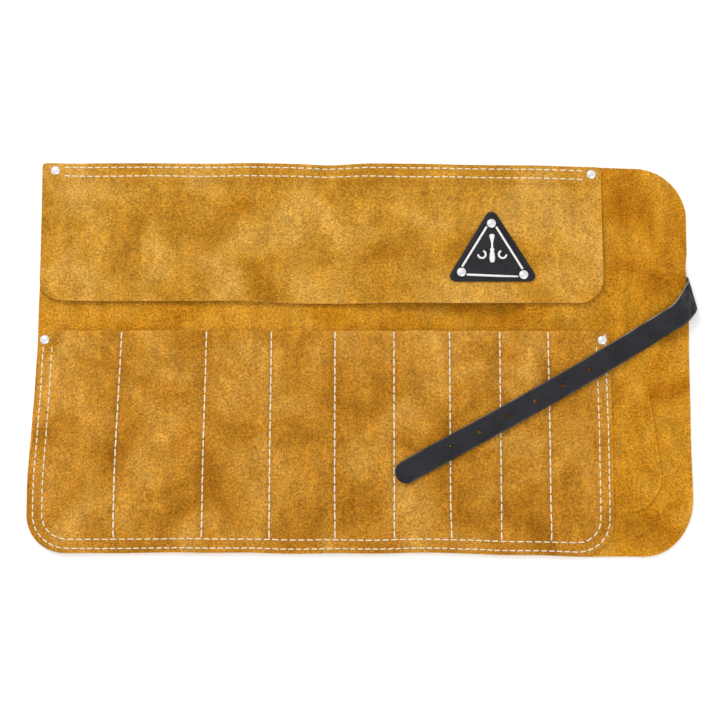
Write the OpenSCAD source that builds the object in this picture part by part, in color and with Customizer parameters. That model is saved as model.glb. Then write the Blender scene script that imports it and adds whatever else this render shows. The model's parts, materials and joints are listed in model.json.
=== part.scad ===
// Leather roll for carving tools, laid open flat: a suede backing with a row of
// sewn pockets, a turned-down flap with a riveted badge, and a strap with a
// buckle that ties the rolled bundle.
// Millimetres. +X runs along the row of pockets, +Y points to the flap's fold,
// +Z is up. The origin is the middle of the backing's underside.

/* [Backing] */
// Width of the backing hide
backing_w = 600; // [580:5:640]
// Depth of the backing hide
backing_d = 360; // [350:5:380]
// Thickness of the backing hide
backing_t = 1.8; // [1.8:0.1:2.2]
// Corner radius at the strap end, flap side
corner_far = 45; // [20:1:60]
// Corner radius at the strap end, pocket side
corner_near = 50; // [20:1:60]

/* [Pockets] */
// Thickness of the pocket and flap hides
hide_t = 1.6; // [1.4:0.1:1.8]
// Depth of the pocket panel
pocket_d = 204; // [180:1:215]
// Clear height inside a pocket that stands open
pocket_gap = 5.2; // [5:0.1:6]
// Width of the sewn margin round the panel
margin = 15; // [14.5:0.5:18]
// Half width of the sewn strip between two pockets
seam_land = 3; // [2.5:0.1:4]
// Corner radius of the panel at the plain end
panel_corner = 35; // [20:1:36]
// Corner radius of the panel at the strap end
panel_corner_strap = 32; // [20:1:36]

/* [Flap] */
// Width of the flap
flap_w = 521; // [500:1:525]
// Depth of the flap with its sewn hem
flap_d = 131; // [120:1:135]
// Depth of the sewn hem
hem_d = 17.5; // [17:0.5:20]
// Corner radius of the flap
flap_corner = 25; // [10:1:40]
// Slope at which the flap rests over the tools, degrees
flap_tilt = 4.3; // [4.2:0.1:6]

/* [Badge] */
// Width of the badge between its outer corners
badge_w = 77; // [60:1:80]
// Depth of the badge from base to tip
badge_d = 66; // [55:1:70]
// Thickness of the badge
badge_t = 1.8; // [1.5:0.1:2.2]
// Radius of the badge's corners
badge_r = 6; // [4:0.5:8]
// Place of the badge's middle along the flap
badge_x = 120; // [60:1:124]

/* [Strap] */
// Width of the strap
strap_w = 21; // [18:0.5:21]
// Thickness of the strap
strap_t = 2.2; // [2:0.1:2.4]
// Slope of the loose strap over the pockets, degrees
strap_slope = 29.6; // [28:0.1:30]
// Diameter of the punched holes
punch_d = 3.8; // [3:0.1:5]
// Number of punched holes
punch_n = 6; // [3:1:7]
// Distance from hole to hole
punch_pitch = 29; // [20:0.5:30]
// Distance from the tip to the first hole
punch_first = 57; // [30:1:60]

/* [Fasteners] */
// Diameter of a rivet cap
cap_d = 8.5; // [7:0.1:9]
// Height of a rivet cap
cap_h = 1.6; // [1:0.1:1.6]
// Diameter of a rivet post
post_d = 3; // [2:0.1:4]
// Diameter of the sewing thread
thread_d = 0.9; // [0.6:0.1:1]

/* [Buckle] */
// Inside width of the buckle
buckle_in = 21.6; // [21.4:0.1:23]
// Length of the buckle frame past its bar
buckle_l = 25; // [22:0.5:26]
// Width of the frame's sides
buckle_side = 2.8; // [2:0.1:3]
// Thickness of the frame and diameter of its bar
buckle_t = 2.4; // [2:0.1:2.5]

/* [Hidden] */
$fn = 48;

// Colours of the materials
suede = "goldenrod";
black_leather = [0.08, 0.08, 0.08];
linen = "ivory";
steel = "silver";

// Overshoot that keeps a cut from ending exactly on a face
cut = 1;
// Running clearance between pieces of different bodies
clear = 0.3;
// Running clearance of the buckle's bar in what turns on it
bar_clear = 0.05;
// Height of a block that has to reach above everything
tall = 30;

left = -backing_w / 2;
near = -backing_d / 2;
far = backing_d / 2;

// Widths of the pockets from the plain end, for wide tools down to narrow ones
pocket_widths = [78, 79, 60, 58.5, 54, 51, 46, 44, 55.5];
pocket_count = len(pocket_widths);
function sum_to(list, n) = n <= 0 ? 0 : list[n - 1] + sum_to(list, n - 1);
function pocket_edge(i) = left + sum_to(pocket_widths, i);
panel_w = sum_to(pocket_widths, pocket_count);
panel_top = near + pocket_d;

// A pocket's side wall rises over this run, and the outer pockets and every
// pocket's closed end start past the rounded inner row of sewing
pocket_run = 6;
pocket_wall = 1.8;
side_past = 4;
end_past = 6;
side_land = margin + side_past;
end_land = margin + end_past;
pocket_top = backing_t + hide_t + pocket_gap;

// Rows of sewing: distances of the outer and the inner row from the hide's edge
row_outer = 4.2;
row_inner = 12.3;
// The rows end under the panel's two rivets
rivet_drop = 8.5;
rivet_in = 6.6;
row_end = panel_top - rivet_drop - cap_d / 2 - clear;
thread_h = 0.6;
// A seam's sewing starts this far below the pocket's mouth
seam_start = 2;

// Flap hinge: the leather bends along a line just past the hem
fold_gap = 0.15;
fold_y = far - hem_d;
flap_under = backing_t + clear;
hem_rivet_drop = 7;
hem_rivet_in_left = 12;
hem_rivet_in_right = 9.5;
hem_rivet_y = far - hem_rivet_drop;
hem_rivet_left = left + hem_rivet_in_left;
hem_rivet_right = left + flap_w - hem_rivet_in_right;

// Badge on the flap, in the flap's own plane: y is measured from the fold
badge_y = -94;
badge_rivet_in = 10;
// The badge's raised rim, the field inside it and the paint on the field
rim_w = 2;
field_sink = 0.4;
field_h = badge_t - field_sink;
line_w = 1.6;
line_h = 0.3;
// Outline of the gouge on the badge, from the end of its handle up
gouge_y = 18;
gouge_handle = [[-2.5, 0], [2.5, 0], [1.5, 12], [-1.5, 12]];
gouge_blade = [[-1, 13], [1, 13], [2.5, 24], [0, 27], [-2.5, 24]];

// Levels of the strap on the back, from the floor up: rivet caps, the turned
// end, the strap itself, then the backing that rises over it
back_cap_h = 0.8;
turned_t = 1.4;
turned_z = 1.2;
back_z = turned_z + turned_t;
strap_y = 57.5;
strap_rivet_xs = [198.5, 208.5];
turned_end = 222;
bar_x = 184;
bar_z = 2.8;
turn_in = buckle_t / 2 + bar_clear;
turn_out = turn_in + turned_t;
strap_rise = back_z + strap_t;
// Inner height, half width and ends of the channels in the backing
buckle_rise = 6.2;
buckle_room = 15;
buckle_room_x = [153, 191];
strap_play = 0.5;
strap_room = strap_w / 2 + strap_play;
// Run of a channel's sloping side for each millimetre of its height
flank_run = 0.8;

// Bend of the strap round the backing's edge
front_z = pocket_top + clear;
bend_in = (front_z - strap_rise) / 2;
bend_out = bend_in + strap_t;
bend_z = strap_rise + bend_in;
bend_tilt = strap_slope / 2;
edge_x = backing_w / 2;
// Length to either side of the hide's edge on which the channel is cut back
edge_cut = 30;

// Loose strap: straight over the pockets, then curving up to the bend. The curve
// is drawn a little past the bend line and cut off there.
curve_turn = 34;
curve_r = 122;
curve_x = 262;
curve_y = 22;
strap_straight = 256;

// Tongue of the buckle, the slot in the strap that lets it through, and how far
// its arm stops short of the frame's outer edge
tongue_w = 3;
tongue_play = 2;
tongue_slot = tongue_w + tongue_play;
tongue_t = 1.1;
tongue_short = 0.5;
tongue_nose = 2;
slot_before = 12;
slot_after = 11;

// A plate with four corner radii: near left, near right, far right, far left
module plate(w, d, h, radii) {
    corners = [[0, 0, 1, 1], [w, 0, -1, 1], [w, d, -1, -1], [0, d, 1, -1]];
    difference() {
        cube([w, d, h]);
        for (i = [0:3]) {
            c = corners[i];
            r = radii[i];
            if (r > 0) translate([c[0], c[1], -cut]) difference() {
                translate([c[2] > 0 ? -cut : -r, c[3] > 0 ? -cut : -r, 0])
                    cube([r + cut, r + cut, h + 2 * cut]);
                translate([c[2] * r, c[3] * r, -cut]) cylinder(r = r, h = h + 4 * cut);
            }
        }
    }
}

// Profile in X and Z drawn out along +Y
module along_y(length) {
    translate([0, length, 0]) rotate([90, 0, 0]) linear_extrude(length) children();
}

// Profile in Y and Z drawn out along +X
module along_x(length) {
    rotate([90, 0, 90]) linear_extrude(length) children();
}

// Domed cap that sits on z = 0
module cap() {
    ball = (pow(cap_d / 2, 2) + pow(cap_h, 2)) / (2 * cap_h);
    intersection() {
        translate([0, 0, cap_h - ball]) sphere(ball);
        cylinder(d = cap_d, h = cap_h);
    }
}

// Rivet through leather from z = low to z = high: flat back cap, post, domed cap
module rivet(low, high) {
    translate([0, 0, low]) cylinder(d = cap_d, h = back_cap_h);
    translate([0, 0, low]) cylinder(d = post_d, h = high - low);
    translate([0, 0, high]) cap();
}

// The hole that a rivet leaves, with the seat of its back cap
module rivet_seat(low, high) {
    translate([0, 0, low - cut]) cylinder(d = cap_d, h = back_cap_h + cut);
    translate([0, 0, low]) cylinder(d = post_d, h = high - low + cut);
}

module at_hem_rivets() {
    for (x = [hem_rivet_left, hem_rivet_right]) translate([x, hem_rivet_y, 0]) children();
}

module at_pocket_rivets() {
    for (x = [left + rivet_in, left + panel_w - rivet_in])
        translate([x, panel_top - rivet_drop, 0]) children();
}

module at_strap_rivets() {
    for (x = strap_rivet_xs) translate([x, strap_y, 0]) children();
}

// Raised channel that leaves room for what lies behind the hide
module channel(half, rise, x0, x1, skin) {
    flank = flank_run * rise;
    translate([x0, strap_y, 0]) along_x(x1 - x0) polygon([
        [-half - skin - flank, -cut], [-half - skin - flank, 0], [-half - skin, rise + skin],
        [half + skin, rise + skin], [half + skin + flank, 0], [half + skin + flank, -cut]
    ]);
}

module back_room(skin) {
    channel(strap_room, strap_rise, buckle_room_x[1] - cut, edge_x + bend_out + cut, skin);
    channel(buckle_room, buckle_rise, buckle_room_x[0] - skin, buckle_room_x[1] + skin, skin);
}

// Everything past the bend line, where the hide's edge stops short of the strap
module past_bend() {
    translate([edge_x, strap_y, -cut]) rotate([0, 0, bend_tilt])
        translate([0, -backing_d, 0]) cube([backing_d, 2 * backing_d, tall]);
}

module backing() {
    color(suede) difference() {
        union() {
            translate([left, near, 0])
                plate(backing_w, backing_d, backing_t,
                      [panel_corner, corner_near, corner_far, 0]);
            intersection() {
                back_room(backing_t);
                translate([left, near, 0]) cube([backing_w, backing_d, tall]);
            }
        }
        back_room(0);
        intersection() {
            past_bend();
            channel(strap_room, strap_rise, edge_x - edge_cut, edge_x + edge_cut,
                    backing_t + clear);
        }
        at_hem_rivets() rivet_seat(0, backing_t);
        at_pocket_rivets() rivet_seat(0, backing_t);
        at_strap_rivets() cylinder(d = post_d, h = strap_rise + 2 * backing_t);
    }
}

// Outline of the whole pocket panel, used to round the outer pockets
module panel_outline() {
    translate([left, near, 0])
        plate(panel_w, pocket_d, pocket_top + cut, [panel_corner, panel_corner_strap, 0, 0]);
}

// Number i counts from 1 at the plain end. The mouth opens toward the flap.
module pocket(i) {
    x0 = pocket_edge(i - 1);
    x1 = pocket_edge(i);
    a = i == 1 ? side_land : seam_land;
    b = i == pocket_count ? side_land : seam_land;
    low = backing_t;
    ceiling = low + pocket_gap;
    outer = [
        [x0, low], [x0, low + hide_t], [x0 + a, low + hide_t],
        [x0 + a + pocket_run, pocket_top], [x1 - b - pocket_run, pocket_top],
        [x1 - b, low + hide_t], [x1, low + hide_t], [x1, low]
    ];
    inner = [
        [x1 - b - pocket_wall, low], [x1 - b - pocket_wall - pocket_gap, ceiling],
        [x0 + a + pocket_wall + pocket_gap, ceiling], [x0 + a + pocket_wall, low]
    ];
    color(suede) difference() {
        intersection() {
            union() {
                translate([0, near + end_land, 0]) along_y(pocket_d - end_land)
                    polygon(concat(outer, inner));
                translate([0, near + end_land, 0]) along_y(hide_t) polygon(outer);
                translate([x0, near, low]) cube([x1 - x0, end_land, hide_t]);
            }
            panel_outline();
        }
        at_pocket_rivets() cylinder(d = post_d, h = pocket_top);
    }
}

module pocket_rivets() {
    color(steel) at_pocket_rivets() rivet(0, backing_t + hide_t);
}

// The pocket panel's outline, drawn in by a distance
module inset_panel(inset, h) {
    translate([left + inset, near + inset, 0])
        plate(panel_w - 2 * inset, pocket_d, h,
              [panel_corner - inset, panel_corner_strap - inset, 0, 0]);
}

// Row of sewing at a distance from the panel's edge
module panel_row(inset) {
    translate([0, 0, backing_t + hide_t]) intersection() {
        difference() {
            inset_panel(inset - thread_d / 2, thread_h);
            translate([0, 0, -cut]) inset_panel(inset + thread_d / 2, thread_h + 2 * cut);
        }
        translate([left, near, 0]) cube([panel_w, row_end - near, thread_h]);
    }
}

module edge_stitching() {
    color(linen) for (inset = [row_outer, row_inner]) panel_row(inset);
}

module seam_stitching() {
    z = backing_t + hide_t;
    foot = near + row_inner + thread_d;
    color(linen) for (i = [1:pocket_count - 1])
        translate([pocket_edge(i) - thread_d / 2, foot, z])
            cube([thread_d, panel_top - foot - seam_start, thread_h]);
}

module flap_hem() {
    color(suede) difference() {
        translate([left, fold_y + fold_gap, backing_t])
            cube([flap_w, hem_d - fold_gap, hide_t]);
        at_hem_rivets() cylinder(d = post_d, h = 3 * backing_t);
    }
}

module hem_rivets() {
    color(steel) at_hem_rivets() rivet(0, backing_t + hide_t);
}

module hem_stitching() {
    x0 = hem_rivet_left + cap_d;
    x1 = hem_rivet_right - cap_d;
    color(linen) for (y = [far - row_outer, far - row_inner])
        translate([x0, y - thread_d / 2, backing_t + hide_t])
            cube([x1 - x0, thread_d, thread_h]);
}

// Places children in the plane of the flap's underside, with y = 0 at the fold
module on_flap() {
    translate([0, fold_y, flap_under]) rotate([-flap_tilt, 0, 0]) children();
}

// Corners of the badge's triangle, drawn in by a distance
function badge_point(k, inset) =
    let (half = badge_w / 2 - inset, base = badge_y + inset)
    k == 0 ? [badge_x - half, base] :
    k == 1 ? [badge_x + half, base] : [badge_x, badge_y + badge_d - inset];

module at_badge_rivets() {
    for (k = [0:2]) {
        p = badge_point(k, badge_rivet_in);
        translate([p[0], p[1], 0]) children();
    }
}

module flap() {
    length = flap_d - hem_d;
    color(suede) on_flap() difference() {
        translate([left, -length, 0])
            plate(flap_w, length - fold_gap, hide_t, [flap_corner, flap_corner, 0, 0]);
        at_badge_rivets() rivet_seat(0, hide_t);
    }
}

// Direction of the badge's side from corner k to the next one, degrees
function badge_side(k) =
    let (run = badge_point((k + 1) % 3, badge_r) - badge_point(k % 3, badge_r))
    atan2(run[1], run[0]);

// Triangle with round corners: an arc at each corner, from the normal of the side
// before it to the normal of the side after it
module badge_outline(inset, h) {
    r = badge_r - inset;
    steps = 8;
    linear_extrude(h) polygon([
        for (k = [0:2], i = [0:steps])
            let (
                from = badge_side(k + 2) - 90,
                turn = (badge_side(k) - badge_side(k + 2) + 720) % 360,
                a = from + turn * i / steps
            )
            badge_point(k, badge_r) + r * [cos(a), sin(a)]
    ]);
}

module badge_plate() {
    color(black_leather) on_flap() translate([0, 0, hide_t]) difference() {
        badge_outline(0, badge_t);
        translate([0, 0, field_h]) badge_outline(rim_w, badge_t);
        at_badge_rivets() translate([0, 0, field_h]) cylinder(d = cap_d, h = badge_t);
        at_badge_rivets() translate([0, 0, -cut]) cylinder(d = post_d, h = 3 * badge_t);
    }
}

// Three painted lines that join the badge's rivets
module badge_lines() {
    color(linen) on_flap() translate([0, 0, hide_t + field_h]) for (k = [0:2]) {
        p = badge_point(k, badge_rivet_in);
        q = badge_point((k + 1) % 3, badge_rivet_in);
        run = q - p;
        turn = atan2(run[1], run[0]);
        space = cap_d / 2 + clear;
        translate([p[0], p[1], 0]) rotate([0, 0, turn])
            translate([space, -line_w / 2, 0])
                cube([norm(run) - 2 * space, line_w, line_h]);
    }
}

// Plain emblem: a gouge, with its handle below and its blade above
module badge_emblem() {
    color(linen) on_flap() translate([badge_x, badge_y + gouge_y, hide_t + field_h]) {
        linear_extrude(line_h) polygon(gouge_handle);
        linear_extrude(line_h) polygon(gouge_blade);
    }
}

module badge_rivets() {
    color(steel) on_flap() at_badge_rivets() rivet(0, hide_t + field_h);
}

// Strap on the back: anchored by its rivets, with its thinned end turned round
// the buckle's bar and back under the rivets
module strap_back() {
    ease = 6.5;
    lap = 0.3;
    color(black_leather) difference() {
        translate([0, strap_y - strap_w / 2, 0]) {
            intersection() {
                along_y(strap_w) translate([bar_x, bar_z]) circle(turn_out);
                translate([bar_x - turn_out, -cut, 0])
                    cube([turn_out + lap, strap_w + 2 * cut, buckle_rise]);
            }
            along_y(strap_w) polygon([
                [bar_x - lap, bar_z + lap], [bar_x - lap, bar_z + turn_out - lap],
                [bar_x + ease, strap_rise], [edge_x + strap_w, strap_rise],
                [edge_x + strap_w, back_z], [bar_x + ease, back_z]
            ]);
            along_y(strap_w) polygon([
                [bar_x - lap, bar_z - turn_out + lap], [bar_x - lap, bar_z - lap],
                [bar_x + ease, back_z + lap], [turned_end, back_z + lap],
                [turned_end, turned_z], [bar_x + ease, turned_z]
            ]);
        }
        translate([0, strap_y - strap_w, 0]) along_y(2 * strap_w)
            translate([bar_x, bar_z]) circle(turn_in);
        translate([0, 0, -cut]) past_bend();
        translate([bar_x - slot_before, strap_y - tongue_slot / 2, -cut])
            cube([slot_before + slot_after, tongue_slot, buckle_rise + 2 * cut]);
        at_strap_rivets() cylinder(d = post_d, h = strap_rise + cut);
    }
}

module strap_rivets() {
    low = turned_z - back_cap_h;
    color(steel) at_strap_rivets() {
        translate([0, 0, low]) cylinder(d = cap_d, h = back_cap_h);
        translate([0, 0, low]) cylinder(d = post_d, h = strap_rise + backing_t - low);
        translate([0, 0, strap_rise + backing_t]) cap();
    }
}

// Half ring of strap round the hide's edge, lying along the bend line
module strap_bend() {
    length = strap_w / cos(bend_tilt);
    color(black_leather) translate([edge_x, strap_y, bend_z]) rotate([0, 0, bend_tilt])
        translate([0, -length / 2, 0]) along_y(length) difference() {
            circle(bend_out);
            circle(bend_in);
            translate([-2 * bend_out, -2 * bend_out]) square([2 * bend_out, 4 * bend_out]);
        }
}

// Loose end: round tip, straight run with the punched holes, then the curve
module strap_front() {
    half = strap_w / 2;
    color(black_leather) difference() {
        translate([curve_x, curve_y, front_z]) rotate([0, 0, strap_slope]) {
            translate([-strap_straight, -half, 0]) cube([strap_straight, strap_w, strap_t]);
            translate([-strap_straight, 0, 0]) cylinder(r = half, h = strap_t);
            translate([0, curve_r, 0]) rotate([0, 0, -90])
                rotate_extrude(angle = curve_turn, $fn = 96)
                    translate([curve_r - half, 0]) square([strap_w, strap_t]);
        }
        past_bend();
        translate([curve_x, curve_y, 0]) rotate([0, 0, strap_slope])
            for (i = [0:punch_n - 1])
                translate([-strap_straight - half + punch_first + i * punch_pitch, 0, 0])
                    cylinder(d = punch_d, h = 2 * front_z);
    }
}

// Frame of the buckle: a bent bar with round corners, and the bar it turns on
module buckle_frame() {
    half = buckle_in / 2;
    outer = half + buckle_side;
    z = bar_z - buckle_t / 2;
    corner = 5;
    color(steel) {
        difference() {
            translate([bar_x - buckle_l, strap_y - outer, z])
                plate(buckle_l + buckle_t / 2, 2 * outer, buckle_t, [corner, 0, 0, corner]);
            translate([bar_x - buckle_l + buckle_side, strap_y - half, z - cut])
                cube([buckle_l + buckle_t, 2 * half, buckle_t + 2 * cut]);
        }
        translate([bar_x, strap_y + half, bar_z]) rotate([90, 0, 0])
            cylinder(d = buckle_t, h = 2 * half);
    }
}

// Pin of the buckle: an eye on the bar and an arm that rests on the frame
module buckle_tongue() {
    eye = buckle_t / 2 + bar_clear;
    rest = bar_z - buckle_t / 2 - clear;
    reach = buckle_l - tongue_short;
    color(steel) translate([bar_x, strap_y - tongue_w / 2, 0]) difference() {
        union() {
            along_y(tongue_w) translate([0, bar_z]) circle(eye + tongue_t);
            along_y(tongue_w) polygon([
                [0, bar_z - eye - tongue_t / 2], [-reach, rest - tongue_t], [-reach, rest],
                [-buckle_l + buckle_side + tongue_nose, rest], [0, bar_z]
            ]);
        }
        translate([0, -cut, 0]) along_y(tongue_w + 2 * cut)
            translate([0, bar_z]) circle(eye);
    }
}

backing();
pocket(1);  // pocket_1
pocket(2);  // pocket_2
pocket(3);  // pocket_3
pocket(4);  // pocket_4
pocket(5);  // pocket_5
pocket(6);  // pocket_6
pocket(7);  // pocket_7
pocket(8);  // pocket_8
pocket(9);  // pocket_9
pocket_rivets();
edge_stitching();
seam_stitching();
flap_hem();
hem_rivets();
hem_stitching();
flap();
badge_plate();
badge_lines();
badge_emblem();
badge_rivets();
strap_back();
strap_rivets();
strap_bend();
strap_front();
buckle_frame();
buckle_tongue();
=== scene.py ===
# %% [markdown]
# # A leather tool roll, laid open
#
# The roll is three suede hides, a punched strap, a badge, a handful of rivets and
# some five hundred stitches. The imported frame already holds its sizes, its bodies
# and its joints. This notebook replaces the plain stand-in solids with hides that
# have a nap, pockets that stand a little open, and stitches that are each a piece of
# thread. Shapes are worked out in millimetres and turned into metres at the end.

# %% Load the frame
import json
import math
import random

import bmesh
import bpy
from mathutils import Matrix, Vector, noise


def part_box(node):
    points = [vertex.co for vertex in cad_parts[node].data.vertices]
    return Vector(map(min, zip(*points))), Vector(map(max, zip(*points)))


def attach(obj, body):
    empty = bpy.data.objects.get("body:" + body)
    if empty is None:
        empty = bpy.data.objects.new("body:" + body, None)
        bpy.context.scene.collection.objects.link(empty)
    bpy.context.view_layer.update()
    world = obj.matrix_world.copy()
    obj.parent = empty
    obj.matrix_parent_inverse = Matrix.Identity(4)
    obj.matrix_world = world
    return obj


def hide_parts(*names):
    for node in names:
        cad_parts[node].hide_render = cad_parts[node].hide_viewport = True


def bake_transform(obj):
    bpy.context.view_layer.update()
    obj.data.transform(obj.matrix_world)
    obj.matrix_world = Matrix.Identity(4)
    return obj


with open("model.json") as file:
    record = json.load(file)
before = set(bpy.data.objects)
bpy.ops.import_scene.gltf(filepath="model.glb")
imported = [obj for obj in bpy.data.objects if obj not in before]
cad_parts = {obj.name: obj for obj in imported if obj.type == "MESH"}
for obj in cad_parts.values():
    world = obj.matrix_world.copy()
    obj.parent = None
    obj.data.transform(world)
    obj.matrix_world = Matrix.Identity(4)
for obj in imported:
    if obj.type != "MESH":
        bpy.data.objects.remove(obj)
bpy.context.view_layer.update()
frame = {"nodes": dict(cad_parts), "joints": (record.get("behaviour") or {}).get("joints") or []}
MM = 0.001

# %% [markdown]
# The sizes that drive everything come from the frame: the thickness of the hides
# from the hem that lies on the backing, the seams from the edges of the pocket
# nodes, and the two bend lines from the joints that turn on them. The pocket hide
# is cut a little short of the backing's plain edge, and a hair's gap keeps two
# hides that lie on each other from sharing a surface.

# %% Read the driving sizes
def corners_of(node):
    low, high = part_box(node)
    return Vector(low) / MM, Vector(high) / MM


joints = {joint["name"]: joint for joint in frame["joints"]}
backing_low, backing_high = corners_of("backing")
hem_low, hem_high = corners_of("flap_hem")
flap_low, flap_high = corners_of("flap")
BACKING_T = hem_low.z
HIDE_T = hem_high.z - hem_low.z
LAND_DEPTH = BACKING_T + HIDE_T
HIDE_GAP = 0.03
FOLD_Y = joints["flap_fold"]["pos_m"][1] / MM
pocket_names = [f"pocket_{number}" for number in range(1, 10)]
seams = [corners_of(name)[0].x for name in pocket_names]
seams.append(corners_of(pocket_names[-1])[1].x)
PANEL_INSET = 1.8
PANEL_LEFT, PANEL_RIGHT = seams[0] + PANEL_INSET, seams[-1]
PANEL_BOTTOM, PANEL_TOP = corners_of("pocket_1")[0].y, corners_of("pocket_1")[1].y
print(len(pocket_names), "pockets, hide", round(HIDE_T, 2), "mm thick")

# %% [markdown]
# ## Camera, floor and light
#
# The roll lies on a plain pale floor and is seen almost from straight above. One
# wide soft light stands beyond the flap, so that each edge throws a thin shadow
# toward the viewer, and a bright surrounding keeps those shadows pale.

# %% Camera
CAMERA_DISTANCE = 1938.6
CAMERA_TILT = math.radians(9)
CAMERA_ANGLE = math.radians(19.296)
aim = Vector((-1.6, -2.7, 3))
forward = Vector((0, math.sin(CAMERA_TILT), -math.cos(CAMERA_TILT)))
camera = bpy.data.objects.new("camera", bpy.data.cameras.new("camera"))
camera.location = (aim - forward * CAMERA_DISTANCE) * MM
camera.rotation_euler = (CAMERA_TILT, 0, 0)
camera.data.angle = CAMERA_ANGLE
bpy.context.scene.collection.objects.link(camera)
bpy.context.scene.camera = camera
print("camera at", [round(value, 3) for value in camera.location])

# %% Floor and light
def soft_light(name, place, size, watts):
    lamp = bpy.data.lights.new(name, "AREA")
    lamp.size = size
    lamp.energy = watts
    holder = bpy.data.objects.new(name, lamp)
    holder.location = place
    holder.rotation_euler = (-Vector(place)).to_track_quat("-Z", "Y").to_euler()
    bpy.context.scene.collection.objects.link(holder)


soft_light("window", place=(-0.7, 1.5, 1.7), size=0.9, watts=21)
soft_light("fill", place=(0.9, -1.2, 1.9), size=1.6, watts=6)
SURROUNDING = 0.84
world = bpy.data.worlds.new("studio")
world.use_nodes = True
background = world.node_tree.nodes["Background"]
background.inputs["Color"].default_value = (1, 1, 1, 1)
background.inputs["Strength"].default_value = SURROUNDING
bpy.context.scene.world = world
bpy.context.scene.view_settings.view_transform = "Standard"


def finished_mesh(bm, name):
    mesh = bpy.data.meshes.new(name)
    bm.to_mesh(mesh)
    bm.free()
    return mesh


FLOOR_HALF = 6
FLOOR_DROP = 0.0002
floor_bm = bmesh.new()
bmesh.ops.create_grid(floor_bm, x_segments=1, y_segments=1, size=FLOOR_HALF)
bmesh.ops.translate(floor_bm, vec=(0, 0, -FLOOR_DROP), verts=floor_bm.verts)
floor = bpy.data.objects.new("floor", finished_mesh(floor_bm, "floor"))
bpy.context.scene.collection.objects.link(floor)
print(len(bpy.data.lights), "lamps over a floor", 2 * FLOOR_HALF, "m wide")

# %% [markdown]
# ## Finishes
#
# A finish is a small tree of shader nodes. A few helpers keep each tree short. They
# add a node, join two sockets, and read noise in object coordinates, so that a
# pattern stays on its piece when the piece moves. Noise seldom leaves the middle of
# its range, so a grey ramp spends its whole contrast there. The last step joins the
# colour to the shader and stacks the relief, coarse under fine. Colours are given as
# a dyer's chart gives them, 0 to 255, and turned linear.

# %% Helpers for shader trees
def new_finish(name, **settings):
    finish = bpy.data.materials.new(name)
    finish.use_nodes = True
    shader = finish.node_tree.nodes["Principled BSDF"]
    for socket, value in settings.items():
        shader.inputs[socket.replace("_", " ")].default_value = value
    return finish, shader


def add(finish, kind, settings=None, **sockets):
    node = finish.node_tree.nodes.new(kind)
    for key, value in (settings or {}).items():
        setattr(node, key, value)
    for key, value in sockets.items():
        node.inputs[key.replace("_", " ")].default_value = value
    return node


def join(finish, source, target):
    finish.node_tree.links.new(source, target)


def grain(finish, scale, detail=3, stretch=(1, 1, 1), shift=0, twist=0):
    place = add(finish, "ShaderNodeTexCoord")
    mapping = add(finish, "ShaderNodeMapping", Location=(shift, shift, shift), Scale=stretch)
    texture = add(finish, "ShaderNodeTexNoise", Scale=scale, Detail=detail, Distortion=twist)
    join(finish, place.outputs["Object"], mapping.inputs["Vector"])
    join(finish, mapping.outputs["Vector"], texture.inputs["Vector"])
    return texture.outputs["Fac"]


def ramp(finish, value, stops):
    node = add(finish, "ShaderNodeValToRGB")
    elements = node.color_ramp.elements
    for extra in stops[2:]:
        elements.new(1.0)
    for element, (place, colour) in zip(elements, stops):
        element.position = place
        element.color = (*colour, 1)
    join(finish, value, node.inputs["Fac"])
    return node.outputs["Color"]


NOISE_LOW, NOISE_HIGH = 0.28, 0.72


def grey(low, high):
    return [(NOISE_LOW, (low, low, low)), (NOISE_HIGH, (high, high, high))]


MIX_COLOUR_SOCKETS = 0, 6, 7
MIX_COLOUR_RESULT = 2


def blend_colours(finish, mode, share, first, second):
    node = add(finish, "ShaderNodeMix", {"data_type": "RGBA", "blend_type": mode})
    factor, base, other = (node.inputs[index] for index in MIX_COLOUR_SOCKETS)
    if isinstance(share, float):
        factor.default_value = share
    else:
        join(finish, share, factor)
    join(finish, first, base)
    if isinstance(second, tuple):
        other.default_value = (*second, 1)
    else:
        join(finish, second, other)
    return node.outputs[MIX_COLOUR_RESULT]


def tinted(finish, colour, value, stops):
    return blend_colours(finish, "MULTIPLY", 1.0, colour, ramp(finish, value, stops))


def wear_light_and_shade_value(finish):
    return add(finish, "ShaderNodeAttribute", {"attribute_name": "wear_light_and_shade"}).outputs["Fac"]


def complete(finish, shader, colour, relief):
    join(finish, colour, shader.inputs["Base Color"])
    previous = None
    for height, depth in relief:
        node = add(finish, "ShaderNodeBump", Strength=1.0, Distance=depth)
        join(finish, height, node.inputs["Height"])
        if previous:
            join(finish, previous, node.inputs["Normal"])
        previous = node.outputs["Normal"]
    join(finish, previous, shader.inputs["Normal"])
    return finish


GAMMA = 2.2


def srgb(red, green, blue):
    return tuple((value / 255) ** GAMMA for value in (red, green, blue))
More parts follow.
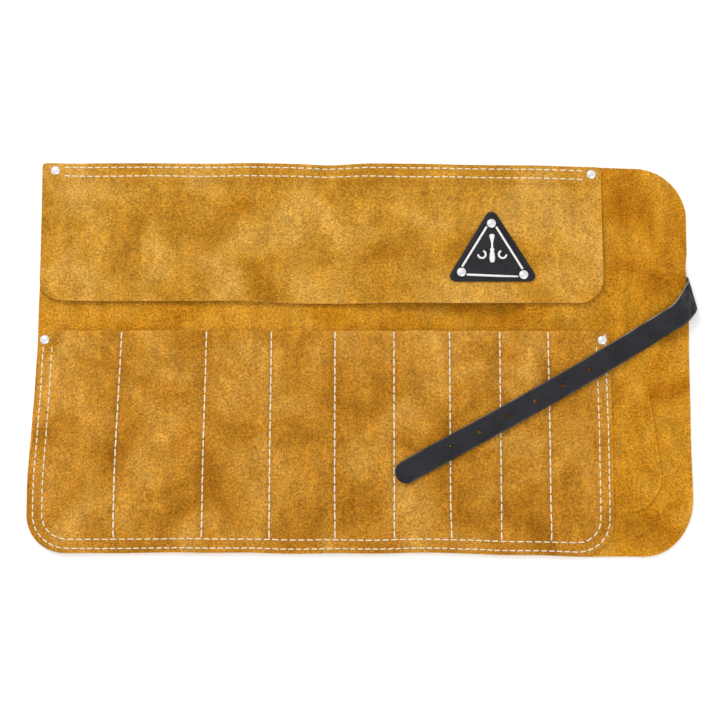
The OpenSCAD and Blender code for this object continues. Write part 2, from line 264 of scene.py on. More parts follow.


# %% [markdown]
# Suede is the flesh side of a hide. Its nap lies in patches, each patch catches the
# light its own way, and hands darken it. Four sizes of noise make that: wide clouds,
# brushed streaks, speckle the size of a match head, and the fibres themselves. A
# little sheen on the shader's own socket stands for the fibre tips. The mesh carries a
# value per point that lightens the hide where it is rubbed and paints highlights on
# raised lips and the crease ridge, and that paints shade in seams, folds and beside the
# crease.

# %% Suede
def suede(name, dark, middle, light, shift):
    finish, shader = new_finish(
        name, Roughness=0.92, IOR=1.35, Specular_IOR_Level=0.15,
        Sheen_Weight=0.22, Sheen_Roughness=0.45, Sheen_Tint=(*srgb(236, 190, 120), 1),
    )
    clouds = grain(finish, 17, 4, shift=shift, twist=0.6)
    colour = ramp(finish, clouds, [(0.3, dark), (0.5, middle), (0.72, light)])
    streaks = grain(finish, 30, 3, stretch=(3.2, 0.8, 1), shift=shift + 3, twist=0.4)
    patches = grain(finish, 75, 3, shift=shift + 5, twist=0.5)
    speckle = grain(finish, 520, 2, shift=shift + 7)
    fibres = grain(finish, 1200, 2, shift=shift + 9)
    layers = [
        (streaks, 0.86, 1.12), (patches, 0.87, 1.12), (speckle, 0.62, 1.38), (fibres, 0.66, 1.34)
    ]
    for layer, low, high in layers:
        colour = tinted(finish, colour, layer, grey(low, high))
    # The per-point value at 0.5 leaves the colour. Below it the colour is darkened as painted
    # shade; above it the colour is lightened for rubbed nap and painted highlights.
    stops = [(0.0, (0.62, 0.56, 0.46)), (0.5, (1.0, 1.0, 1.0)), (1.0, (1.24, 1.26, 1.36))]
    colour = tinted(finish, colour, wear_light_and_shade_value(finish), stops)
    nap = grain(finish, 240, 3, shift=shift)
    return complete(finish, shader, colour, [(nap, 0.0005), (fibres, 0.00022)])


backing_tones = srgb(163, 101, 16), srgb(191, 129, 33), srgb(206, 147, 54)
pocket_tones = srgb(154, 98, 22), srgb(183, 124, 41), srgb(203, 149, 66)
flap_tones = srgb(163, 107, 25), srgb(189, 134, 47), srgb(207, 156, 75)
backing_suede = suede("ochre suede backing", *backing_tones, 0)
pocket_suede = suede("ochre suede pockets", *pocket_tones, 20)
flap_suede = suede("ochre suede flap", *flap_tones, 40)
print(flap_suede.name, "has", len(flap_suede.node_tree.nodes), "nodes")

# %% [markdown]
# Where the knife went through, the hide shows its pale inside. The cut has loose
# fibres and no nap, so it is lighter, duller and rougher than the face.

# %% Cut edge of the suede
def cut_edge(name, dark, light, fibre_scale):
    finish, shader = new_finish(name, Roughness=0.95, Specular_IOR_Level=0.12)
    fibres = grain(finish, fibre_scale, 3, (1, 1, 2.5))
    colour = ramp(finish, fibres, [(0.3, dark), (0.7, light)])
    return complete(finish, shader, colour, [(fibres, 0.0003)])


suede_cut = cut_edge("cut edge of the suede", srgb(176, 122, 50), srgb(222, 178, 112), 900)
strap_cut = cut_edge("cut edge of the strap", srgb(44, 38, 36), srgb(92, 82, 74), 1100)
print(suede_cut.name, "and", strap_cut.name)

# %% [markdown]
# The thread is waxed linen, off-white, with a fine lay. The strap is black leather
# with a pebbled grain and a dull wax. The badge is the same black leather, pressed
# smooth, and its paint is worn thin at the edges. Rivets are bright plated steel
# with faint wipe marks. The buckle has a softer polish. The floor is pale paper that
# glows faintly, so that it stays white where the roll shades it.

# %% Thread, black leather, paint and steel
def thread_finish():
    finish, shader = new_finish("waxed linen thread", Roughness=0.62, Sheen_Weight=0.15)
    lay = grain(finish, 2600, 2)
    soil = grain(finish, 90, 3)
    colour = ramp(finish, lay, [(0.3, srgb(222, 208, 178)), (0.7, srgb(250, 243, 226))])
    colour = tinted(finish, colour, soil, grey(0.86, 1.06))
    return complete(finish, shader, colour, [(lay, 0.00012)])


# Pale colour for the strap's rubbed edges and scuffs, and also for a painted highlight along its
# upper edge.
WORN_AND_HIGHLIT_LEATHER = srgb(205, 194, 180)


def black_leather(name, dark, light, pebble_scale, depth, roughness):
    finish, shader = new_finish(name, Roughness=roughness, IOR=1.45, Specular_IOR_Level=0.3)
    place = add(finish, "ShaderNodeTexCoord")
    pebble = add(finish, "ShaderNodeTexVoronoi", {"feature": "SMOOTH_F1"}, Scale=pebble_scale)
    join(finish, place.outputs["Object"], pebble.inputs["Vector"])
    clouds = grain(finish, 60, 3)
    fine = grain(finish, 1800, 2)
    colour = ramp(finish, clouds, [(0.3, dark), (0.7, light)])
    colour = tinted(finish, colour, fine, grey(0.75, 1.2))
    # Mixes in the pale colour by the per-point value: rubbed edges and scuffs, and a painted
    # highlight along the strap's upper edge.
    colour = blend_colours(finish, "MIX", wear_light_and_shade_value(finish), colour, WORN_AND_HIGHLIT_LEATHER)
    dullness = ramp(finish, clouds, grey(roughness - 0.06, roughness + 0.1))
    join(finish, dullness, shader.inputs["Roughness"])
    relief = [(pebble.outputs["Distance"], depth), (fine, depth / 4)]
    return complete(finish, shader, colour, relief)


def plated_steel(name, colour, roughness):
    finish, shader = new_finish(name, Metallic=1.0)
    wiping = grain(finish, 700, 3, (1, 4, 1))
    dullness = ramp(finish, wiping, grey(roughness - 0.04, roughness + 0.07))
    join(finish, dullness, shader.inputs["Roughness"])
    shaded = tuple(0.86 * part for part in colour)
    tint = ramp(finish, grain(finish, 180, 2), [(0.3, shaded), (0.7, colour)])
    return complete(finish, shader, tint, [(wiping, 0.00002)])


def worn_paint():
    finish, shader = new_finish("worn white paint", Roughness=0.55)
    flakes = grain(finish, 1300, 3)
    colour = ramp(finish, flakes, [(0.32, srgb(176, 174, 170)), (0.45, srgb(240, 239, 236))])
    return complete(finish, shader, colour, [(flakes, 0.00008)])


thread = thread_finish()
strap_leather = black_leather(
    "black strap leather", srgb(26, 26, 32), srgb(42, 41, 46),
    pebble_scale=620, depth=0.0006, roughness=0.52,
)
badge_leather = black_leather(
    "black badge leather", srgb(22, 21, 26), srgb(38, 36, 42),
    pebble_scale=1100, depth=0.0002, roughness=0.5,
)
badge_paint = worn_paint()
rivet_steel = plated_steel("bright rivet steel", (0.97, 0.97, 0.98), 0.17)
buckle_steel = plated_steel("polished buckle steel", (0.72, 0.72, 0.73), 0.24)

FLOOR_GLOW = 0.14
floor_finish, floor_shader = new_finish(
    "pale floor", Roughness=0.9, Specular_IOR_Level=0.0,
    Emission_Color=(1, 1, 1, 1), Emission_Strength=FLOOR_GLOW,
)
paper_tones = [(0.3, (0.93, 0.93, 0.93)), (0.7, (0.95, 0.95, 0.95))]
paper = ramp(floor_finish, grain(floor_finish, 300, 2), paper_tones)
join(floor_finish, paper, floor_shader.inputs["Base Color"])
floor.data.materials.append(floor_finish)
print(len(bpy.data.materials), "finishes")

# %% [markdown]
# ## How the hides lie
#
# The hides were cut square and have moved since. The plain end has drawn in at the
# flap and spread at the pockets, the long edges bow a little, and the cut wanders.
# Every piece goes through the same settling, so stitches and rivets stay on their
# hide. A smooth step from 0 to 1 says where each movement begins and ends.

# %% Settling
def rise(value, start, end):
    share = min(1, max(0, (value - start) / (end - start)))
    return share * share * (3 - 2 * share)


def fall(value, start, end):
    return 1 - rise(value, start, end)


def bump(away, width):
    return math.exp(-(away / width) ** 2)


def cloud(x, y, size, layer):
    return noise.noise(Vector((x / size, y / size, layer)))


PLAIN_DRAWN, PLAIN_SPREAD = 3.6, 7.2
BARE_SPREAD, BARE_CORNER = 0.8, 1.7
TUCK_AT_STRAP = 2.6
FAR_SWELL, FAR_SAG, FAR_DIP = 2.2, 3.8, 2.2
NEAR_DRAWN, NEAR_SPREAD = 1.0, 3.6
WANDER_X, WANDER_Y = 1.1, 1.3


def shift_along(x, y):
    plain = max(0, x / backing_low.x)
    spread = PLAIN_SPREAD * plain**1.5 * rise(-y, -40, 125)
    corner = BARE_SPREAD + BARE_CORNER * rise(-y, -40, 80)
    bare_end = corner * rise(x, 140, 220) * fall(x, 232, 290)
    tuck = TUCK_AT_STRAP * rise(x, 274, 300) * rise(y, 60, 71) * fall(y, 79, 100)
    return PLAIN_DRAWN * plain**2.2 - spread + bare_end - tuck


def shift_up(x, y):
    far = FAR_SWELL * fall(x, 20, 150) - FAR_SAG * rise(x, 150, 270)
    near = NEAR_DRAWN - NEAR_SPREAD * rise(x, 60, 240)
    dip = FAR_DIP * bump(x + 27, 24) * rise(y, 150, 178)
    return far * rise(y, 60, 175) + near * rise(-y, 100, 175) - dip


def settle(x, y):
    edge = max(rise(abs(x), 240, 290), rise(abs(y), 120, 170))
    wander_x = WANDER_X * edge * cloud(x, y, 42, 7.5)
    wander_y = WANDER_Y * edge * cloud(x, y, 48, 2.5)
    return x + shift_along(x, y) + wander_x, y + shift_up(x, y) + wander_y


print("the near plain corner settles at", [round(v) for v in settle(*backing_low.xy)])

# %% [markdown]
# Heights come from a few functions too. The backing rises over the strap and the
# buckle that run behind it, a ripple runs through all layers, and a crease stands on
# the bare end, where the roll is folded in first: straight, then round the corner.

# %% Heights
STRAP_Y = joints["strap_swing"]["pos_m"][1] / MM
BUCKLE_X = joints["buckle_swing"]["pos_m"][0] / MM
EDGE_X = joints["strap_swing"]["pos_m"][0] / MM
STRAP_HALF = (corners_of("strap_back")[1].y - corners_of("strap_back")[0].y) / 2
STRAP_DRIFT = 8.0
STRAP_HUMP, BUCKLE_HUMP = 5.1, 6.2


def strap_line(x):
    return STRAP_Y + STRAP_DRIFT * rise(x, EDGE_X - 62, EDGE_X - 8)


def hump(x, y):
    across = abs(y - strap_line(x))
    over_strap = STRAP_HUMP * fall(across, 11, 27) * rise(x, 176, 192)
    over_buckle = BUCKLE_HUMP * fall(across, 15.5, 32) * rise(x, 136, 153) * fall(x, 191, 208)
    return max(over_strap, over_buckle)


def ripple(x, y):
    quiet = fall(abs(y - 85), 55, 85) * rise(x, 55, 80)
    return max(0, (0.5 + cloud(x, y, 75, 4.2)) * (1 - quiet))


CREASE_HEIGHT = 0.7
CREASE_WIDTH = 0.9
CREASE_RADIUS = 32.5
CREASE_CENTRE = Vector((238.5, -107.5))
CREASE_FOOT = Vector((259.5, -29.5))
CREASE_SLOPE = 0.146


def crease(x, y):
    if x < PANEL_RIGHT:
        return 0
    if y > CREASE_CENTRE.y:
        away = x - (CREASE_FOOT.x - CREASE_SLOPE * (y - CREASE_FOOT.y))
        strength = fall(y, -45, -15)
    else:
        away = math.hypot(x - CREASE_CENTRE.x, y - CREASE_CENTRE.y) - CREASE_RADIUS
        strength = rise(x, CREASE_CENTRE.x - 8, CREASE_CENTRE.x + 6)
    return (bump(away, CREASE_WIDTH) - 0.75 * bump(away - 1.9, 1.0)) * strength


def backing_top(x, y):
    return BACKING_T + hump(x, y) + ripple(x, y) + CREASE_HEIGHT * max(0, crease(x, y))


print("hump over the buckle", round(hump(BUCKLE_X - 10, STRAP_Y), 1), "mm")

# %% [markdown]
# ## Making a piece
#
# A hide starts as one flat grid whose columns and rows stand where detail is needed.
# Its corners are rounded by pushing the last square of the grid into a quarter disc.
# A height is then given to every point, and Solidify gives the hide its thickness
# with the pale cut on the rim. A small bevel takes the sharpness off a suede cut. The
# strap's cut is crisp, and weighted normals keep its faces flat up to the edge.

# %% Helpers for pieces
def stations(low, high, step, zones=()):
    marks = [low]
    while marks[-1] < high - 0.01:
        finer = [size for start, end, size in zones if start <= marks[-1] < end]
        marks.append(min(high, marks[-1] + min([step] + finer)))
    return marks


def flat_grid(columns, rows):
    bm = bmesh.new()
    spans = len(columns) - 1, len(rows) - 1
    bmesh.ops.create_grid(bm, x_segments=spans[0], y_segments=spans[1], size=1)
    for point in bm.verts:
        point.co.x = columns[round((point.co.x + 1) / 2 * spans[0])]
        point.co.y = rows[round((point.co.y + 1) / 2 * spans[1])]
    return bm


def round_corner(x, y, corner, radius, side, end):
    across = (x - (corner[0] - side * radius)) * side / radius
    along = (y - (corner[1] - end * radius)) * end / radius
    if across <= 0 or along <= 0:
        return x, y
    moved = across * math.sqrt(1 - along**2 / 2), along * math.sqrt(1 - across**2 / 2)
    return x + side * radius * (moved[0] - across), y + end * radius * (moved[1] - along)


def only(made, kind):
    return [item for item in made["geom"] if isinstance(item, kind)]


def grow_rim(bm, edges):
    grown = bmesh.ops.extrude_edge_only(bm, edges=edges)
    points = only(grown, bmesh.types.BMVert)
    rim = [edge for edge in only(grown, bmesh.types.BMEdge) if set(edge.verts) <= set(points)]
    return points, rim


def make_piece(name, bm, finishes, replaced, body=None):
    bmesh.ops.scale(bm, vec=(MM, MM, MM), verts=bm.verts)
    for face in bm.faces:
        face.smooth = True
    mesh = finished_mesh(bm, name)
    for finish in finishes:
        mesh.materials.append(finish)
    piece = bpy.data.objects.new(name, mesh)
    bpy.context.scene.collection.objects.link(piece)
    if body:
        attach(piece, body)
    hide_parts(*replaced)
    print(name, len(mesh.polygons), "faces before modifiers")
    return piece


def soften(piece, name, width, segments, angle):
    edge = piece.modifiers.new(name, "BEVEL")
    edge.width = width * MM
    edge.segments = segments
    edge.limit_method = "ANGLE"
    edge.angle_limit = math.radians(angle)
    edge.harden_normals = True


def thicken(piece, thickness, softness):
    wall = piece.modifiers.new("thickness", "SOLIDIFY")
    wall.thickness = thickness * MM
    wall.offset = -1
    wall.material_offset_rim = 1
    if softness:
        soften(piece, "soft cut", softness, segments=2, angle=50)
    else:
        piece.modifiers.new("crisp cut", "WEIGHTED_NORMAL")
    return wall


def lay_hide(bm, height, wear_light_and_shade, corners):
    layer = bm.verts.layers.float.new("wear_light_and_shade")
    for point in bm.verts:
        x, y = point.co.x, point.co.y
        for corner, radius in corners:
            side, end = math.copysign(1, corner[0]), corner[2]
            x, y = round_corner(x, y, corner[:2], radius, side, end)
        point.co = (*settle(x, y), height(x, y))
        point[layer] = wear_light_and_shade(x, y)


# %% [markdown]
# ## Backing
#
# The backing is one cut of suede 1.8 mm thick. It could be a flat slab, but the bare
# end shows how it lies: it rises over the strap behind it, and an old crease runs
# down it and turns the corner. The grid is finer along the crease.

# %% Backing hide
# Strength of the crease's painted highlight on its ridge and painted shade beside it.
CREASE_HIGHLIGHT_AND_SHADE = 0.42


def backing_wear_light_and_shade(x, y):
    edge = rise(max(abs(x) - 285, abs(y) - 168), 0, 14)
    # A darker band along x 283 paints the shade of a fold.
    fold_shade = 0.5 * bump(x - 283, 5) * rise(y, -60, 60)
    # The crease term paints a highlight on the ridge and shade about 1.9 mm beyond it; the edge
    # term is rubbed wear.
    return 0.5 + 0.1 * edge - 0.25 * fold_shade + CREASE_HIGHLIGHT_AND_SHADE * crease(x, y)


columns = stations(backing_low.x, backing_high.x, 3.2, [(254, 275, 0.6)])
rows = stations(backing_low.y, backing_high.y, 3.2, [(-146, -108, 0.8)])
backing_bm = flat_grid(columns, rows)
backing_corners = [
    ((backing_low.x, backing_low.y, -1), 35),
    ((backing_high.x, backing_low.y, -1), 50),
    ((backing_high.x, backing_high.y, 1), 46),
    ((backing_low.x, backing_high.y, 1), 3),
]
lay_hide(backing_bm, backing_top, backing_wear_light_and_shade, backing_corners)
backing_hide = make_piece(
    "backing_hide", backing_bm, [backing_suede, suede_cut], ["backing"], "roll"
)
thicken(backing_hide, BACKING_T, softness=0.3)

# %% [markdown]
# ## Pocket panel
#
# The pockets are one hide, sewn down along eight seams and round three sides. A
# simulation could puff them, but the seams hold them so closely that the shape is
# known: flat on each seam, rising fast beside it, and crowned most at the open mouth.
# Columns stand a millimetre apart near each seam, so the valley is sharp.

# %% Pocket hide
MARGIN = 15
SEAM_HOLD = 1.0
CROWN_MOUTH = 3.6
CROWN_LOW = 1.5
CROWN_RUN = 6.5
SEAM_DEPTH, SEAM_WIDTH = 0.35, 1.3
random.seed(11)
crowns = [random.uniform(0.82, 1.15) for name in pocket_names]


def panel_rise(x, y):
    if not PANEL_LEFT <= x <= PANEL_RIGHT or y > PANEL_TOP + 3:
        return 0
    last = len(pocket_names) - 1
    index = max(number for number in range(last + 1) if seams[number] <= x or number == 0)
    left = x - seams[index] - (MARGIN if index == 0 else SEAM_HOLD)
    right = seams[index + 1] - x - (MARGIN if index == last else SEAM_HOLD)
    away = max(0, min(left, right))
    half = (seams[index + 1] - seams[index]) / 2
    puff = (1 - math.exp(-away / CROWN_RUN)) / (1 - math.exp(-half / CROWN_RUN))
    depth = CROWN_LOW + (CROWN_MOUTH - CROWN_LOW) * rise(y, PANEL_TOP - 120, PANEL_TOP)
    bottom = rise(y, PANEL_BOTTOM + MARGIN, PANEL_BOTTOM + MARGIN + 26)
    slack = 1 + 0.45 * cloud(x, y, 34, 9.1)
    return crowns[index] * depth * puff * bottom * slack


def seam_dip(x, y):
    inner = PANEL_BOTTOM + MARGIN
    near = min(abs(x - seam) for seam in seams[1:-1])
    return -SEAM_DEPTH * bump(near, SEAM_WIDTH) * rise(y, inner - 4, inner + 2)


def panel_top(x, y):
    return LAND_DEPTH + HIDE_GAP + ripple(x, y) + panel_rise(x, y) + seam_dip(x, y)


def panel_wear_light_and_shade(x, y):
    # The mouth band is lighter: rubbed nap, and a painted highlight on the raised lip. The right
    # edge is rubbed lighter.
    lip = rise(y, PANEL_TOP - 5, PANEL_TOP - 1)
    side = 0.6 * rise(x, PANEL_RIGHT - 2.5, PANEL_RIGHT - 0.5)
    near = min(abs(x - seam) for seam in seams[1:-1])
    # Painted shade in the valleys beside each seam.
    return 0.5 + 0.22 * max(lip, side) - 0.12 * bump(near - 1.5, 2.2)


seam_zones = [(seam - 9, seam + 9, 1.0) for seam in seams[1:-1]]
edge_zones = [(PANEL_LEFT, PANEL_LEFT + 24, 1.6), (PANEL_RIGHT - 24, PANEL_RIGHT, 1.6)]
columns = stations(PANEL_LEFT, PANEL_RIGHT, 3.6, seam_zones + edge_zones)
row_zones = [(PANEL_BOTTOM, PANEL_BOTTOM + 40, 2), (PANEL_TOP - 8, PANEL_TOP, 1)]
rows = stations(PANEL_BOTTOM, PANEL_TOP, 3.4, row_zones)
panel_bm = flat_grid(columns, rows)
PANEL_RADII = 35, 32
panel_corners = [
    ((PANEL_LEFT, PANEL_BOTTOM, -1), PANEL_RADII[0]),
    ((PANEL_RIGHT, PANEL_BOTTOM, -1), PANEL_RADII[1]),
]
lay_hide(panel_bm, panel_top, panel_wear_light_and_shade, panel_corners)
pocket_hide = make_piece(
    "pocket_hide", panel_bm, [pocket_suede, suede_cut], pocket_names, "roll"
)
thicken(pocket_hide, HIDE_T, softness=0.25)

# %% [markdown]
# ## Flap
#
# The flap and its sewn hem are one hide that bends along the fold. It lies almost
# flat at the plain end and rests higher where the buckle lies behind the backing.
# It is one sheet across the fold, hem and flap together.

# %% Flap hide
FLAP_SLOPE = (flap_high.z - HIDE_T - flap_low.z) / (flap_high.y - flap_low.y)


def flap_lift(x, y):
    free = max(0, FOLD_Y - y)
    plane = (0.3 + 0.7 * rise(x, -30, 80)) * FLAP_SLOPE * free
    wave = 0.7 * cloud(x, y, 60, 1.3) * rise(free, 20, 100) * fall(x, 60, 85)
    return plane + max(-0.5 * plane, wave)


def flap_top(x, y):
    return LAND_DEPTH + HIDE_GAP + ripple(x, y) + flap_lift(x, y)


FLAP_RIGHT, FLAP_BOTTOM = flap_high.x, flap_low.y


def flap_wear_and_shade(x, y):
    edge = rise(FLAP_BOTTOM + 7 - y, 0, 6) + rise(x, FLAP_RIGHT - 8, FLAP_RIGHT - 2)
    # The free edges are rubbed lighter; painted shade darkens the fold line.
    return 0.5 + 0.16 * min(1, edge) - 0.14 * bump(y - FOLD_Y, 3.5)


columns = stations(flap_low.x, FLAP_RIGHT, 4, [(FLAP_RIGHT - 28, FLAP_RIGHT, 2)])
row_zones = [(FLAP_BOTTOM, FLAP_BOTTOM + 28, 2), (FOLD_Y - 10, FOLD_Y + 8, 1)]
rows = stations(FLAP_BOTTOM, hem_high.y, 4, row_zones)
flap_bm = flat_grid(columns, rows)
LIP_RUN = 22
for point in flap_bm.verts:
    lip = rise(FLAP_BOTTOM + LIP_RUN - point.co.y, 0, LIP_RUN)
    uneven = 1.2 * cloud(point.co.x, 0, 90, 3.3) + 3.0 * fall(point.co.x, -125, -55)
    point.co.y += lip * uneven
flap_corners = [
    ((flap_low.x, FLAP_BOTTOM, -1), 24),
    ((FLAP_RIGHT, FLAP_BOTTOM, -1), 23),
    ((flap_low.x, hem_high.y, 1), 3),
    ((FLAP_RIGHT, hem_high.y, 1), 5),
]
lay_hide(flap_bm, flap_top, flap_wear_and_shade, flap_corners)
flap_hide = make_piece(
    "flap_hide", flap_bm, [flap_suede, suede_cut], ["flap", "flap_hem"]
)
thicken(flap_hide, HIDE_T, softness=0.25)
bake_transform(flap_hide)

# %% [markdown]
# The three hides were cut flat and are only laid, so the outline is the cut. The
# flap's cut size is printed.

print("flap cut", round(FLAP_RIGHT - flap_low.x), "by", round(hem_high.y - FLAP_BOTTOM), "mm")

# %% [markdown]
# ## Stitches
#
# Each stitch is its own piece of thread: it comes up through the hide, lies along it
# and dives again. One small capsule of six sides is drawn out ring by ring. It is
# copied along every row, turned to the row, and dipped at both ends.

# %% One stitch
STITCH_SIDES = 6


def stitch_template():
    bm = bmesh.new()
    profile = [(-0.5, 0.3), (-0.44, 0.8), (-0.3, 1.0), (0.3, 1.0), (0.44, 0.8), (0.5, 0.3)]
    start, size = profile[0]
    ring = bmesh.ops.create_circle(bm, segments=STITCH_SIDES, radius=size)["verts"]
    turn = Matrix.Rotation(math.pi / 2, 3, "Y")
    bmesh.ops.rotate(bm, verts=ring, cent=(0, 0, 0), matrix=turn)
    bmesh.ops.translate(bm, vec=(start, 0, 0), verts=ring)
    edges = bm.edges[:]
    for (before, old), (after, new) in zip(profile, profile[1:]):
        tip, edges = grow_rim(bm, edges)
        bmesh.ops.translate(bm, vec=(after - before, 0, 0), verts=tip)
        bmesh.ops.scale(bm, vec=(1, new / old, new / old), verts=tip)
    bmesh.ops.holes_fill(bm, edges=bm.edges[:])
    bmesh.ops.recalc_face_normals(bm, faces=bm.faces[:])
    return finished_mesh(bm, "stitch")


stitch_mesh = stitch_template()
print("one stitch:", len(stitch_mesh.polygons), "faces")

# %% [markdown]
# A row is a path on the hide. Walking along it in steps of one pitch gives the two
# holes of each stitch. A hand-guided machine never sews two stitches the same, so
# each one is a little longer, shorter or turned. Duty is the share of a pitch that
# the thread lies on top.

# %% Sew along a path
def walk(path):
    lengths = [0]
    for before, after in zip(path, path[1:]):
        lengths.append(lengths[-1] + (after - before).length)
    return lengths


def point_on(path, lengths, distance):
    for index in range(len(path) - 1):
        if distance <= lengths[index + 1] or index == len(path) - 2:
            share = (distance - lengths[index]) / (lengths[index + 1] - lengths[index])
            return path[index].lerp(path[index + 1], share)


LENGTH_SPREAD, SKEW_SPREAD = 0.03, 0.22
STITCH_SINK, DIVE_DEPTH = 0.4, 0.75


def sew(bm, path, pitch, duty, radius, height):
    path = [Vector(point) for point in path]
    lengths = walk(path)
    count = round(lengths[-1] / pitch)
    step = lengths[-1] / count
    for number in range(count):
        length = step * (duty + random.uniform(-LENGTH_SPREAD, LENGTH_SPREAD))
        start = number * step + (step - length) / 2
        first = point_on(path, lengths, start)
        along = point_on(path, lengths, start + length) - first
        side = Vector((-along.y, along.x)).normalized()
        skew = random.uniform(-SKEW_SPREAD, SKEW_SPREAD)
        bm.from_mesh(stitch_mesh)
        bm.verts.ensure_lookup_table()
        for point in bm.verts[-len(stitch_mesh.vertices):]:
            share, out, up = point.co
            offset = out * radius + skew * share * 2
            place = first + along * (share + 0.5) + side * offset
            dive = DIVE_DEPTH * (2 * abs(share)) ** 5
            level = height(place.x, place.y) + (STITCH_SINK + 0.8 * up) * radius - dive
            point.co = (*settle(place.x, place.y), level)
    return count


UNDER_RIVET = 14
CORNER_STEPS = 12


def panel_path(inset, below_mouth):
    left, right, bottom = PANEL_LEFT + inset, PANEL_RIGHT - inset, PANEL_BOTTOM + inset
    path = [(left, PANEL_TOP - UNDER_RIVET)]
    for corner, radius, turn in ((left, PANEL_RADII[0], 180), (right, PANEL_RADII[1], 270)):
        arc = radius - inset
        centre = corner + arc * (1 if corner == left else -1), bottom + arc
        for step in range(CORNER_STEPS + 1):
            angle = math.radians(turn + 90 * step / CORNER_STEPS)
            path.append((centre[0] + arc * math.cos(angle), centre[1] + arc * math.sin(angle)))
    return path + [(right, PANEL_TOP - below_mouth)]


# %% Sew the three groups of rows
ROW_OUTER, ROW_INNER = 3.9, 12.1
EDGE_THREAD_R, SEAM_THREAD_R = 0.6, 0.7
random.seed(5)
edge_bm, seam_bm, hem_bm = bmesh.new(), bmesh.new(), bmesh.new()
outer_row, inner_row = panel_path(ROW_OUTER, 1.5), panel_path(ROW_INNER, UNDER_RIVET)
count = sew(edge_bm, outer_row, 6.9, 0.8, EDGE_THREAD_R, panel_top)
count += sew(edge_bm, inner_row, 7.6, 0.8, EDGE_THREAD_R, panel_top)
for seam in seams[1:-1]:
    row = [(seam, PANEL_TOP + 0.3), (seam, PANEL_BOTTOM + ROW_INNER + 0.8)]
    count += sew(seam_bm, row, 8.2, 0.9, SEAM_THREAD_R, panel_top)
hem_span = hem_low.x + 20, hem_high.x - 16
for y in (hem_high.y - ROW_OUTER, hem_high.y - ROW_INNER):
    row = [(hem_span[0], y), (hem_span[1], y)]
    count += sew(hem_bm, row, 7.4, 0.78, EDGE_THREAD_R, flap_top)
make_piece("edge_thread", edge_bm, [thread], ["edge_stitching"], "roll")
make_piece("seam_thread", seam_bm, [thread], ["seam_stitching"], "roll")
make_piece("hem_thread", hem_bm, [thread], ["hem_stitching"], "roll")
print(count, "stitches")

# %% [markdown]
# ## Rivets
#
# A double-cap rivet is a domed cap with a rolled lip, a post, and a flat cap on the
# back. It is a turned shape, so its profile is spun once round the post. Depth is
# how far the back cap's face lies below the hide that the front cap sits on.

# %% Rivets
CAP_R, POST_R = 4.25, 1.5
CAP_SIDES = 28
CAP_H = corners_of("hem_rivets")[1].z - hem_high.z


def rivet_template(depth, back):
    profile = [
        (0, CAP_H), (1.3, CAP_H * 0.97), (2.5, CAP_H * 0.84), (3.4, CAP_H * 0.6),
        (3.85, CAP_H * 0.36), (4.1, CAP_H * 0.3), (CAP_R, CAP_H * 0.18), (4.15, 0.02),
        (3.7, -0.05), (POST_R, -0.05), (POST_R, back - depth), (3.9, back - depth),
        (CAP_R, back / 2 - depth), (3.9, -depth), (0, -depth),
    ]
    bm = bmesh.new()
    line = [bm.verts.new((radius, 0, height)) for radius, height in profile]
    edges = [bm.edges.new(pair) for pair in zip(line, line[1:])]
    bmesh.ops.spin(
        bm, geom=line + edges, cent=(0, 0, 0), axis=(0, 0, 1),
        angle=2 * math.pi, steps=CAP_SIDES, use_merge=True,
    )
    bmesh.ops.remove_doubles(bm, verts=bm.verts[:], dist=0.001)
    bmesh.ops.recalc_face_normals(bm, faces=bm.faces[:])
    return finished_mesh(bm, "rivet")


def set_rivets(name, places, height, depth, back, node, body):
    template = rivet_template(depth, back)
    bm = bmesh.new()
    for place in places:
        bm.from_mesh(template)
        bm.verts.ensure_lookup_table()
        shift = Vector(settle(*place)) - Vector(place)
        for point in bm.verts[-len(template.vertices):]:
            x, y = place[0] + point.co.x, place[1] + point.co.y
            point.co = (x + shift.x, y + shift.y, height(x, y) + point.co.z)
    make_piece(name, bm, [rivet_steel], [node], body)


def end_pair(node):
    low, high = corners_of(node)
    level = (low.y + high.y) / 2
    return [(low.x + CAP_R, level), (high.x - CAP_R, level)]


BACK_CAP, BACK_CAP_AT_STRAP = 0.7, 0.8
STRAP_RIVET_DEPTH = 6.2
pairs = [
    ("hem_rivet_pair", "hem_rivets", flap_top, LAND_DEPTH, BACK_CAP),
    ("pocket_rivet_pair", "pocket_rivets", panel_top, LAND_DEPTH, BACK_CAP),
    ("strap_rivet_pair", "strap_rivets", backing_top, STRAP_RIVET_DEPTH, BACK_CAP_AT_STRAP),
]
for name, node, height, depth, back in pairs:
    set_rivets(name, end_pair(node), height, depth, back, node, "roll")

# %% [markdown]
# ## Badge
#
# The badge is a pressed leather triangle with round corners and a raised border. It
# starts as a three-sided circle. Its corners are rounded by a vertex bevel, it is
# drawn up to its thickness, and three insets leave the border standing.

# %% Badge plate
badge_low, badge_high = corners_of("badge_plate")
BADGE_T = 1.8
BADGE_R = 6
BADGE_SINK = 0.45
RIM_SWELL = 0.25
badge_x = (badge_low.x + badge_high.x) / 2


def on_flap(bm):
    for point in bm.verts:
        x, y, z = point.co
        point.co = (*settle(x, y), flap_top(x, y) + z)


def sharp_triangle():
    half = (badge_high.x - badge_low.x) / 2 - BADGE_R
    tall = badge_high.y - badge_low.y - 2 * BADGE_R
    base_angle = math.atan2(tall, half) / 2
    tip_angle = math.pi / 2 - 2 * base_angle
    tangent = BADGE_R / math.tan(base_angle)
    left, right = badge_x - half - tangent, badge_x + half + tangent
    tip = badge_high.y - BADGE_R + BADGE_R / math.sin(tip_angle)
    return [(badge_x, tip), (left, badge_low.y), (right, badge_low.y)], tangent


